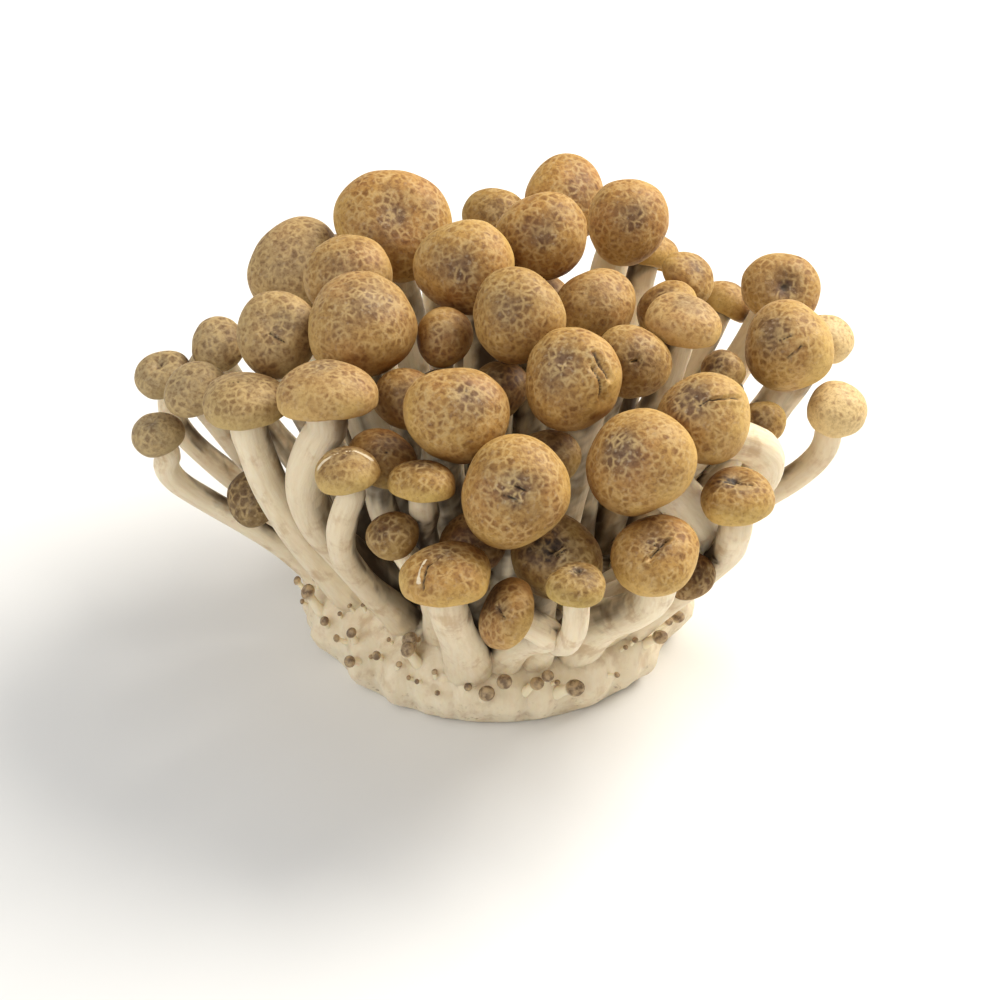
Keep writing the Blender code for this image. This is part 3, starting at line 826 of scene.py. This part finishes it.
def gill_mesh(cap, tree):
    holder = piece("gills", bpy.data.meshes.new("gills"))
    modifier = holder.modifiers.new("gills", "NODES")
    modifier.node_group = tree
    r = cap.radius
    set_inputs(modifier, {
        "Throat": cap.throat,
        "Brim": cap.lip - LIP_ROUND * r + 0.1 * MM,
        "Lip height": cap.lip_z + LIP_ROUND * r,
        "Ceiling height": cap.ceiling_z + GILL_ROOM * r + 0.1 * MM,
        "Edge height": cap.ceiling_z,
        "Thickness": GILL_THICKNESS,
        "Count": round(math.pi * cap.lip / GILL_PITCH),
        "Material": GILLS,
    })
    mesh = as_plain_mesh(holder)
    at = places_of(mesh)
    placed = cap.place(np.hypot(at[:, 0], at[:, 1]), np.arctan2(at[:, 1], at[:, 0]), at[:, 2])
    mesh.vertices.foreach_set("co", placed.ravel())
    return mesh


def cap_mesh(cap, tree):
    """The fine cap: skin, curled lip, and the arched underside with its gills."""
    sides = round(2 * math.pi * cap.radius / CAP_FACE)
    turns, flat, z, edge, outer = swept(sides, *cap_profile(cap))
    z = z - outer * np.where(z > 0, cap.dimple * np.exp(-((flat / cap.radius / DIMPLE_WIDTH) ** 2)), 0)
    ends = cap.place(np.zeros(2), np.zeros(2), np.array([cap.height - cap.dimple, z[-1]]))
    points = np.vstack([ends[:1], cap.place(flat, turns, z), ends[1:]])
    edge, outer = np.r_[0, edge, 1], np.r_[1, outer, 0]
    points, marks = dress_cap(cap, points, outer, edge)
    mesh = mesh_of(cap.node, points, ring_faces(len(flat) // sides, sides), [SKIN, GILLS])
    under = [all(outer[i] < 0.5 for i in face.vertices) for face in mesh.polygons]
    mesh.polygons.foreach_set("material_index", np.array(under, dtype=np.int32))
    rng = np.random.default_rng(SEED * 5 + cap.number)
    # Each cap's own paleness, and for some dark caps painted shade
    tone_and_shade = TONES_AND_SHADE.get(cap.number, rng.uniform(-0.25, 0.2))
    # Painted cool light on the left of the bunch
    grey = min(max((-cap.middle[0] - COOL_LIGHT_FROM) / COOL_LIGHT_OVER, 0), 1) + rng.uniform(-0.05, 0.15)
    same = np.ones(len(points))
    warmth = WARMTHS.get(cap.number, rng.uniform(-0.5, 0.7))
    values = {"tone_and_shade": same * tone_and_shade, "grey": same * max(grey, 0), "warmth": same * warmth}
    # Each point's painted shade, from how closed in it is
    keep_values(mesh, edge=edge, deep=cap_shade(cap, points, sides), **marks, **values)
    return joined(mesh, gill_mesh(cap, tree))


def joined(mesh, other):
    """Two meshes in one, the second with the last of the first one's materials."""
    bm = bmesh.new()
    bm.from_mesh(mesh)
    count = len(bm.faces)
    bm.from_mesh(other)
    bm.faces.ensure_lookup_table()
    for face in bm.faces[count:]:
        face.material_index = len(mesh.materials) - 1
        face.smooth = False
    bm.to_mesh(mesh)
    bm.free()
    return mesh


# Stems


def first_route(cap):
    """A stem's centreline as a cubic curve, from its root in the butt to the neck under its cap."""
    root = cap.heart[:2] * ROOT_SHARE
    reach = np.linalg.norm(root)
    if reach > ROOT_REACH:
        root = root * ROOT_REACH / reach
    start = np.array([*root, ROOT_HEIGHT])
    neck_drop = cap.ceiling_z - cap.lip_z + cap.stem_radius + NECK_SPARE
    neck = cap.middle + cap.up * (cap.ceiling_z - SEAT_GAP - neck_drop)
    length = np.linalg.norm(neck - start)
    lean = unit(np.array([*(root / ROOT_REACH * ROOT_LEAN), 1.0]))
    bulge = np.array(BULGES.get(cap.number, (0, 0, 0))) * MM
    out = start + lean * length * STEM_RISE_SHARE + bulge
    back = neck - cap.up * length * STEM_HEAD_SHARE + bulge
    t = np.linspace(0, 1, ROUTE_POINTS)[:, None]
    return start * (1 - t) ** 3 + out * 3 * t * (1 - t) ** 2 + back * 3 * t**2 * (1 - t) + neck * t**3


def bend_clear(route, cap, others):
    """Bends a stem's middle round the caps that it would cross, smooths it and runs it into its cap."""
    for _ in range(ROUTE_ROUNDS):
        along = unit(np.gradient(route, axis=0))
        push = np.zeros_like(route)
        for other in others:
            inside = other.share_inside(route, cap.stem_radius + STEM_GAP)
            away = route - other.heart
            away -= (away * along).sum(1)[:, None] * along
            away /= np.linalg.norm(away, axis=1)[:, None] + MM / 1000
            push += away * (np.clip(1 - inside, 0, 1) * other.radius)[:, None]
        bend = (route[:-2] + route[2:]) / 2 - route[1:-1]
        route[1:-1] += push[1:-1] + bend * ROUTE_EASE
        if not push[1:-1].any():
            break
    roof = cap.middle + cap.up * (cap.ceiling_z + GILL_ROOM * cap.radius + 0.3 * MM)
    return np.vstack([route, (route[-1] + roof) / 2, roof])


def smooth_line(points, step):
    """Points at even steps along a smooth curve through the given ones."""
    p = np.vstack([2 * points[0] - points[1], points, 2 * points[-1] - points[-2]])
    t = np.linspace(0, 1, 8, endpoint=False)[:, None]
    runs = []
    for a, b, c, d in zip(p, p[1:], p[2:], p[3:]):
        bow, twist = 2 * a - 5 * b + 4 * c - d, 3 * b - 3 * c + d - a
        runs.append(b + (t * (c - a) + t**2 * bow + t**3 * twist) / 2)
    fine = np.vstack([*runs, points[-1:]])
    run = np.r_[0, np.cumsum(np.linalg.norm(np.diff(fine, axis=0), axis=1))]
    even = np.linspace(0, run[-1], round(run[-1] / step) + 1)
    return np.stack([np.interp(even, run, fine[:, k]) for k in range(3)], 1), even


def stem_mesh(cap, route):
    """One stem as a tube, and for each of its points the values that its flesh reads."""
    line, run = smooth_line(route, STEM_STEP)
    along = unit(np.gradient(line, axis=0))
    swell = 1 + FOOT_SWELL * np.exp(-((run / FOOT_LENGTH) ** 2))
    swell += HEAD_FLARE * np.exp(-(((run[-1] - run) / FLARE_LENGTH) ** 2))
    radius = cap.stem_radius * STEM_FULLER * swell
    side = unit(np.cross(along[0], (0.3, 0.9, 0.1)))
    turns = np.arange(STEM_SIDES) * 2 * math.pi / STEM_SIDES
    rings, fibres = [], []
    for k, (middle, forward) in enumerate(zip(line, along)):
        side = unit(side - forward * (side @ forward))
        across = np.cross(forward, side)
        spoke = np.cos(turns)[:, None] * side + np.sin(turns)[:, None] * across
        rings.append(middle + spoke * radius[k])
        round_it = np.column_stack([np.cos(turns), np.sin(turns)]) * cap.stem_radius / THREAD_WIDTH
        fibres.append(np.column_stack([round_it, np.full(STEM_SIDES, run[k] / THREAD_LENGTH)]))
    points = np.vstack([line[:1], *rings, line[-1:]])
    fibre = np.vstack([fibres[0][:1], *fibres, fibres[-1][:1]]) + cap.number * THREAD_START
    wave = lumps(points, 5 * MM, SEED + 9 * cap.number) * STEM_WAVE
    ridge = np.sin(np.r_[0, np.tile(turns * 3 + cap.number, len(line)), 0]) * STEM_RIDGE
    middles = np.vstack([line[:1], np.repeat(line, STEM_SIDES, 0), line[-1:]])
    points = middles + (points - middles) * (1 + wave + ridge)[:, None]
    mesh = mesh_of("stem", points, ring_faces(len(line), STEM_SIDES), [STEM])
    face_out(mesh)
    same = np.ones(len(points))
    tint = cap.number * GOLDEN_SHARE % 1
    return mesh, points, fibre, same * tint, same * BRIGHT_STEMS.get(cap.number, 1)


def face_out(mesh):
    bm = bmesh.new()
    bm.from_mesh(mesh)
    bmesh.ops.recalc_face_normals(bm, faces=bm.faces)
    bm.to_mesh(mesh)
    bm.free()


def butt_mesh(roots):
    """The lump that the stems grow from, ridged under the outer ones and cut flat below."""
    shares = np.array(BUTT_PROFILE)
    run = np.r_[0, np.cumsum(np.linalg.norm(np.diff(shares, axis=0), axis=1))]
    even = np.linspace(0, run[-1], BUTT_ROWS + 1)[1:]
    flat = np.interp(even, run, shares[:, 0]) * BUTT_RADIUS
    z = np.interp(even, run, shares[:, 1]) * BUTT_HEIGHT
    turns, flat, z = swept(BUTT_SIDES, flat, z)
    points = np.column_stack([flat * np.cos(turns), flat * np.sin(turns), z])
    rng = np.random.default_rng(SEED)
    rise = np.zeros(len(points))
    for _ in range(BUTT_FEET):
        turn, height = rng.uniform(0, 2 * math.pi), rng.uniform(0.1, 0.95) * BUTT_HEIGHT
        foot = np.array([math.cos(turn), math.sin(turn), 0]) * BUTT_RADIUS + (0, 0, height)
        off = (points - foot) / rng.uniform(*FOOT_WIDTHS) / MM
        off[:, 2] *= 0.55
        rise = np.maximum(rise, rng.uniform(*FOOT_HEIGHTS) * MM * np.exp(-(off**2).sum(1)))
    ridge = np.zeros(len(points))
    for x, y in (root for root in roots if math.hypot(*root) > RIDGE_FROM):
        away = (turns - math.atan2(y, x) + math.pi) % (2 * math.pi) - math.pi
        away = away * BUTT_RADIUS / rng.uniform(*RIDGE_WIDTHS) / MM
        ridge = np.maximum(ridge, np.exp(-(away**2)))
    side = np.clip((flat / BUTT_RADIUS - 0.55) / 0.35, 0, 1)
    rise += (ridge - 0.62) * RIDGE_HEIGHT * side + lumps(points, LUMP_SIZE, SEED) * LUMP_RISE
    rise *= np.clip(z / (2.5 * MM), 0, 1)
    points += np.column_stack([np.cos(turns), np.sin(turns), np.zeros(len(turns))]) * rise[:, None]
    points = np.vstack([(0, 0, BUTT_HEIGHT), points, (0, 0, 0)])
    mesh = mesh_of("butt", points, ring_faces(BUTT_ROWS, BUTT_SIDES), [STEM])
    face_out(mesh)
    fibre = points / (3 * MM) * (1, 1, 0.5)
    same = np.ones(len(points))
    return mesh, points, fibre, same * 0.4, same


def largest_island(mesh):
    """Drops the sealed hollows between stems, so that one closed skin is left."""
    bm = bmesh.new()
    bm.from_mesh(mesh)
    islands, left = [], set(bm.faces)
    while left:
        island, frontier = set(), [left.pop()]
        while frontier:
            face = frontier.pop()
            island.add(face)
            for near in (f for e in face.edges for f in e.link_faces if f in left):
                left.discard(near)
                frontier.append(near)
        islands.append(island)
    largest = max(islands, key=len)
    bmesh.ops.delete(bm, geom=[f for i in islands if i is not largest for f in i], context="FACES")
    bm.to_mesh(mesh)
    bm.free()


def pinhead_shape():
    """One tiny mushroom, bent a little, its foot below the floor. Its points know what is head."""
    turns, flat, z = swept(PINHEAD_SIDES, *np.array(PINHEAD_PROFILE).T * MM)
    points = np.column_stack([flat * np.cos(turns), flat * np.sin(turns), z])
    points = np.vstack([(0, 0, z[0]), points, (0, 0, z[-1] + PINHEAD_TIP)])
    points[:, 0] += PINHEAD_BEND * np.maximum(points[:, 2], 0) ** 2
    mesh = mesh_of("pinhead", points, ring_faces(len(PINHEAD_PROFILE), PINHEAD_SIDES), [PINHEAD])
    face_out(mesh)
    keep_values(mesh, head=np.clip((points[:, 2] - HEAD_FROM) / HEAD_OVER, 0, 1))
    return mesh


def pinhead_tree(shape):
    """Scatters a shape over a mesh where its room value lets it, leaning out and up, in many sizes."""
    numbers = ("Density", "Gap", "Smallest", "Largest")
    t, ins = started_tree("pinheads", Geometry=("Ground",), Float=numbers, Int=("Seed",))
    room = t.node("GeometryNodeInputNamedAttribute", {"data_type": "FLOAT"}, {"Name": "room"})
    sockets = {
        "Mesh": ins["Ground"], "Distance Min": ins["Gap"], "Density Max": ins["Density"],
        "Density Factor": room, "Seed": ins["Seed"],
    }
    spots = t.node("GeometryNodeDistributePointsOnFaces", {"distribute_method": "POISSON"}, sockets)
    normal = Link(t, spots.socket.node.outputs["Normal"])
    stray = t.node("FunctionNodeRandomValue", {"data_type": "FLOAT_VECTOR"}, {
        "Min": (-0.35, -0.35, 0.35), "Max": (0.35, 0.35, 1.15), "Seed": ins["Seed"],
    })
    lean = t.node("ShaderNodeVectorMath", {"operation": "ADD"}, {0: normal, 1: stray})
    stand = t.node("FunctionNodeAlignRotationToVector", {"axis": "Z"}, {"Vector": lean})
    chance = t.node("FunctionNodeRandomValue", {"data_type": "FLOAT"}, {"Seed": ins["Seed"] + 1}, out=1)
    size = ins["Smallest"] + (ins["Largest"] - ins["Smallest"]) * chance ** 2.0
    young = t.node("GeometryNodeObjectInfo", {}, {"Object": shape}, out="Geometry")
    sockets = {"Points": spots, "Instance": young, "Rotation": stand, "Scale": size}
    placed = t.node("GeometryNodeInstanceOnPoints", {}, sockets)
    return ended_tree(t, placed, ins["Material"])


def pinheads(ground, caps, routes):
    """Young mushrooms on the upper part of the butt, clear of the stems that are grown."""
    at = places_of(ground)
    room = (at[:, 2] > PINHEADS_FROM).astype(float)
    for cap, route in zip(caps, routes):
        line, _ = smooth_line(route[: ROUTE_POINTS // 2], STEM_STEP)
        away = np.linalg.norm(at[:, None] - line, axis=2).min(1)
        room *= away > cap.stem_radius * STEM_GIRTH + STEM_CLEAR
    keep_values(ground, room=room)
    shape = piece("pinhead", pinhead_shape())
    holder = piece("pinheads", ground)
    modifier = holder.modifiers.new("pinheads", "NODES")
    modifier.node_group = pinhead_tree(shape)
    set_inputs(modifier, {
        "Density": PINHEAD_DENSITY, "Gap": PINHEAD_GAP, "Smallest": PINHEAD_SIZES[0],
        "Largest": PINHEAD_SIZES[1], "Seed": SEED, "Material": PINHEAD,
    })
    mesh = as_plain_mesh(holder)
    bpy.data.objects.remove(shape)
    mesh.shade_smooth()
    return piece("pinheads", mesh)


def build_stems(caps):
    """The stems and the butt joined into one skin, whose points keep the values of the tubes."""
    stems = bpy.data.collections.new("stems")
    bpy.context.scene.collection.children.link(stems)
    routes = []
    for cap in caps:
        others = [other for other in caps if other is not cap]
        routes.append(bend_clear(first_route(cap), cap, others))
    butt, *values = butt_mesh([route[0][:2] for route in routes])
    parts = [values]
    young = pinheads(butt.copy(), caps, routes)
    for cap, route in zip(caps, routes):
        mesh, *values = stem_mesh(cap, route)
        stems.objects.link(bpy.data.objects.new("stem", mesh))
        parts.append(values)
    bunch = piece("stems_and_butt_fine", butt)
    join = bunch.modifiers.new("join stems", "BOOLEAN")
    join.operation = "UNION"
    join.solver = "MANIFOLD"
    join.operand_type = "COLLECTION"
    join.collection = stems
    mesh = as_plain_mesh(bunch)
    for obj in list(stems.objects):
        bpy.data.objects.remove(obj)
    bpy.data.collections.remove(stems)
    largest_island(mesh)
    points, fibres, tints, kept = (np.concatenate([values[k] for values in parts]) for k in range(4))
    tree = KDTree(len(points))
    for k, point in enumerate(points):
        tree.insert(point, k)
    tree.balance()
    nearest = [tree.find(v.co)[1] for v in mesh.vertices]
    at = places_of(mesh)
    foot = np.clip(1 - at[:, 2] / CRUMBS_TO, 0, 1)
    # Painted shade from how closed in each point is, less on the stems kept bright
    deep = closed_in(at, [v.normal for v in mesh.vertices]) * kept[nearest]
    keep_values(mesh, fibre=fibres[nearest], tint=tints[nearest], foot=foot, deep=deep)
    mesh.materials.clear()
    mesh.materials.append(STEM)
    mesh.shade_smooth()
    mesh.set_sharp_from_angle(angle=SHARP_ANGLE)
    return piece("stems_and_butt_fine", mesh), young


# Stage


def add_floor():
    """A pale floor, wide enough to fill the view."""
    made, _, shader = new_material("pale_floor", 0.0, Specular_IOR_Level=0.1, Roughness=0.82)
    shader.inputs["Base Color"].default_value = (0.875, 0.875, 0.872, 1)
    half = 3.0
    corners = np.array([(-half, -half, 0), (half, -half, 0), (half, half, 0), (-half, half, 0)])
    piece("floor", mesh_of("floor", corners, [(0, 1, 2, 3)], [made]))


def add_light(name, place, size, power, colour):
    light = bpy.data.lights.new(name, "AREA")
    light.shape = "DISK"
    light.size = size
    light.energy = power
    light.color = colour
    made = piece(name, light)
    made.location = place
    aim = Vector((0, 0, CROWN_HEIGHT)) - made.location
    made.rotation_euler = aim.to_track_quat("-Z", "Y").to_euler()


def add_camera():
    camera = bpy.data.cameras.new("camera")
    camera.lens = LENS_MM
    camera.sensor_width = SENSOR_MM
    camera.clip_start = 0.01
    made = piece("camera", camera)
    level, high = math.cos(EYE_HEIGHT_ANGLE), math.sin(EYE_HEIGHT_ANGLE)
    made.location = (0, -EYE_DISTANCE * level, CROWN_HEIGHT + EYE_DISTANCE * high)
    made.rotation_euler = (math.pi / 2 - EYE_HEIGHT_ANGLE - AIM_LOWER, 0, -AIM_RIGHT)
    bpy.context.scene.camera = made


def light_scene():
    world = bpy.data.worlds.new("studio")
    world.use_nodes = True
    background = world.node_tree.nodes["Background"]
    background.inputs["Color"].default_value = (1.0, 0.985, 0.95, 1)
    background.inputs["Strength"].default_value = 0.50
    bpy.context.scene.world = world
    bpy.context.scene.view_settings.view_transform = "Standard"
    add_light("window", (0.42, 0.26, 0.52), 0.52, 6.8, (1.0, 0.95, 0.86))
    add_light("sky", (-0.45, -0.45, 0.50), 0.70, 2.2, (0.94, 0.97, 1.0))


def main():
    caps = [Cap(node) for node in sorted(frame["nodes"]) if node.startswith("cap_")]
    gills = gill_tree()
    for cap in caps:
        made = piece(cap.node + "_fine", cap_mesh(cap, gills))
        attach(made, "root")
        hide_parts(cap.node)
    stems, young = build_stems(caps)
    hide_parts("stems_and_butt")
    for made in (stems, young):
        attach(made, "root")
    add_floor()
    light_scene()
    add_camera()


main()
